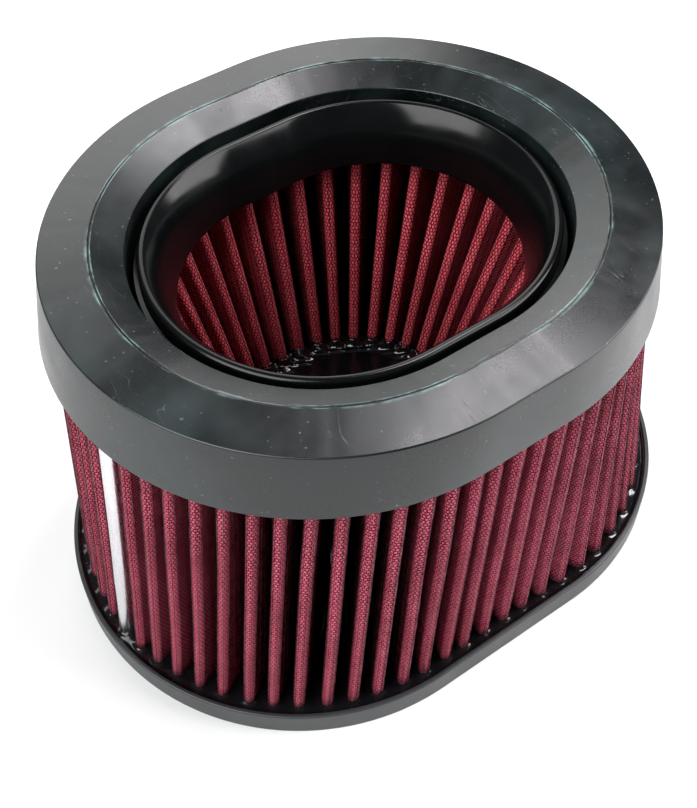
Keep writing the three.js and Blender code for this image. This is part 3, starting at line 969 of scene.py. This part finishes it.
def make_clip(material):
    near = OUTER_FOLD_RADIUS + HALF_THICKNESS + 0.12
    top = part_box("seam_clip")[1][2] / MM
    heights = np.linspace(TIPS_BOTTOM_Z - BURIED, top, 24)
    rows = []
    for z in heights:
        swell = 0.06 * float(wander(z, 11.0, 5))
        outside = clip_line(z, near + CLIP_THICKNESS + swell, CLIP_LEG)
        inside = clip_line(z, near + swell, CLIP_LEG)
        rows.append(np.concatenate([outside, inside[::-1]]))
    rows = np.array(rows)
    count = rows.shape[1]
    faces, _, _ = grid_faces(rows.shape[0], count, False, True)
    step = np.arange(count // 2 - 1)
    across = count - 1 - step
    bottom = np.stack([step, across, across - 1, step + 1], -1)
    last = (rows.shape[0] - 1) * count
    cap = np.stack([step, step + 1, across - 1, across], -1) + last
    faces = np.concatenate([faces, bottom, cap])
    piece = mesh_piece("seam_strip", rows.reshape(-1, 3), faces, material)
    keep_flats_flat(piece)
    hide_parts("seam_clip")


# ---- Tray and potting -----------------------------------------------------------------------


def make_tray(material):
    straight = TRAY_HALF_STRAIGHT
    inner = TRAY_INNER_RADIUS
    section = [(0.0, straight, 0.0), (TRAY_RADIUS * 0.6, straight, 0.0)]
    rounded(section, (TRAY_RADIUS - 0.6, 0.6), 0.6, -90, 0, straight, 6)
    section.append((TRAY_RADIUS, straight, TRAY_HEIGHT / 2))
    rounded(section, (TRAY_RADIUS - 0.5, TRAY_HEIGHT - 0.5), 0.5, 0, 90, straight, 6)
    rounded(section, (inner + 0.3, TRAY_HEIGHT - 0.3), 0.3, 90, 180, straight, 5)
    section.append((inner, straight, TRAY_HEIGHT - 2))
    section.append((inner, straight, 1.6))
    section.append((0.0, straight, 1.6))
    rows = np.array([oval_loop(r, s, 0, z) for r, s, z in section])
    faces, _, _ = grid_faces(rows.shape[0], rows.shape[1], False, True)
    piece = mesh_piece("base_moulding", rows.reshape(-1, 3), faces, material)
    weld(piece)
    keep_flats_flat(piece)
    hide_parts("base_tray")


def weld(piece):
    """Joins points that lie on each other, such as where a plate closes in its middle."""
    modifier = piece.modifiers.new("weld", "WELD")
    modifier.merge_threshold = 1e-6


def nearest_gap(places, line, chunk=4000):
    """Distance from each place to the closest point of a dense line."""
    found = np.empty(len(places))
    for start in range(0, len(places), chunk):
        part = places[start : start + chunk]
        offset = part[:, None, :] - line[None, :, :]
        found[start : start + chunk] = np.sqrt((offset**2).sum(-1).min(1))
    return found


def climb(flat, z, rise, reach, seed):
    """How far wet resin stands up the pleats near each place."""
    line = zigzag(z, 0.0, 6, 24, 6).reshape(-1, 2)
    gap = np.clip(nearest_gap(flat, line) - HALF_THICKNESS, 0, None)
    uneven = 1 + 0.3 * wander(flat[:, 0] + 1.7 * flat[:, 1], 1.9, seed)
    return rise * uneven * np.exp(-gap / (reach * uneven))


SPOKES = 1000
POOL_INNER_RADIUS = 56
POOL_CLIMB = (0.38, 0.55, 8)
WALL_CLIMB = 0.8
WALL_REACH = 0.4
FLOOR_REACH = 2.8
FLOOR_DIP = 0.3
FLOOR_CLIMB = (2.2, 1.1, 4)


def make_potting(material):
    """A pool across the tray and a raised floor inside the pleats, with wet edges."""
    edge = TRAY_INNER_RADIUS - 0.02
    spokes = oval_point((edge, TRAY_HALF_STRAIGHT, 0), np.arange(SPOKES) / SPOKES)
    rows = []
    for radius in np.linspace(edge, POOL_INNER_RADIUS, 26):
        flat = point_towards((radius, TRAY_HALF_STRAIGHT, 0), spokes)
        wall = WALL_CLIMB * math.exp(-(edge - radius) / WALL_REACH)
        rows.append((flat, POTTING_Z + wall + climb(flat, POTTING_Z, *POOL_CLIMB)))
    for extra, z in ((FLOOR_REACH, POTTING_Z), (FLOOR_REACH - 0.1, INNER_FLOOR_Z)):
        flat = point_towards(resized(INNER_FLOOR, extra), spokes)
        rows.append((flat, np.full(SPOKES, z)))
    near = np.linspace(FLOOR_REACH - 0.3, -5, 28)
    far = np.linspace(-5, -INNER_FLOOR[0] + 0.01, 10)[1:]
    for extra in np.concatenate([near, far]):
        flat = point_towards(resized(INNER_FLOOR, extra), spokes)
        wet = climb(flat, INNER_FLOOR_Z, *FLOOR_CLIMB)
        rows.append((flat, INNER_FLOOR_Z - FLOOR_DIP + wet))
    for radius in (1.0, edge):
        flat = point_towards((radius, TRAY_HALF_STRAIGHT, 0), spokes)
        rows.append((flat, np.full(SPOKES, POTTING_LOW[2])))
    loops = np.array([np.column_stack([flat, z]) for flat, z in rows])
    faces, _, _ = grid_faces(loops.shape[0], SPOKES, True, True)
    piece = mesh_piece("base_resin", loops.reshape(-1, 3), faces, material)
    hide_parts("bottom_potting")


# ---- Assembly -------------------------------------------------------------------------------


def main():
    make_camera()
    make_studio()
    make_collar(rubber_material())
    make_throat(throat_material())
    make_pleats()
    make_clip(clip_material())
    make_tray(tray_material())
    make_potting(potting_material())
    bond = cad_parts["top_potting"]
    bond.data.materials.clear()
    bond.data.materials.append(bond_material())


main()
